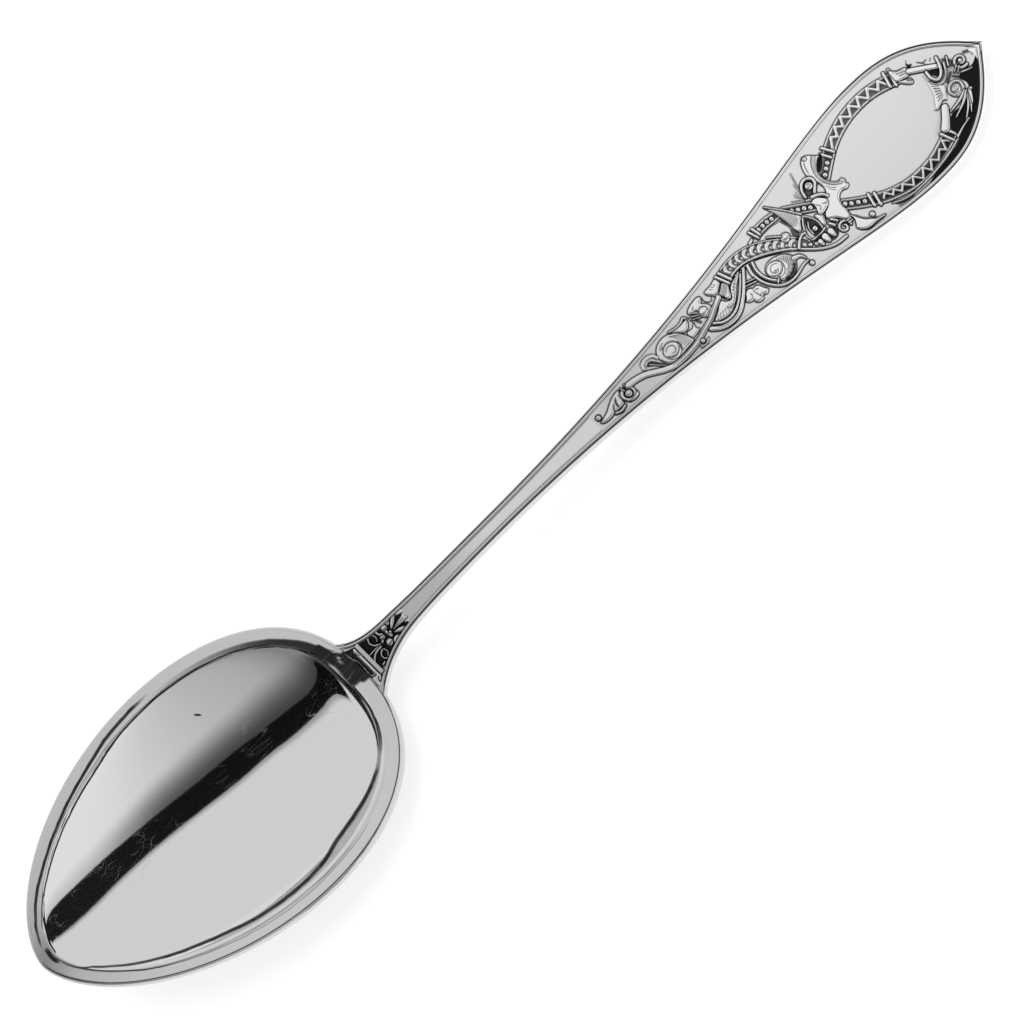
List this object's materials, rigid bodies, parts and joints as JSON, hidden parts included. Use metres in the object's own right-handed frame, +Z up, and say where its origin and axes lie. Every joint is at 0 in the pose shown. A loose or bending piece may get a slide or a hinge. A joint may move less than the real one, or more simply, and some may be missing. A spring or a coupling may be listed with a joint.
{
  "type": "tablespoon",
  "caption": "Silver tablespoon with a pointed egg-shaped bowl, a thin stem and a lobed, pointed handle with struck scrollwork around a plain oval field.",
  "frame": {"origin": "on the table under the middle of the spoon's length and width", "axes": "+X from the bowl towards the handle's tip, +Y across, +Z up from the table into the open side of the bowl"},
  "size_m": [0.21, 0.0468, 0.0173],
  "materials": {
    "silver": "polished silver, a little worn, darkened in the recesses of the ornament"
  },
  "bodies": {
    "root": {"spoon": "silver"}
  },
  "joints": []
}
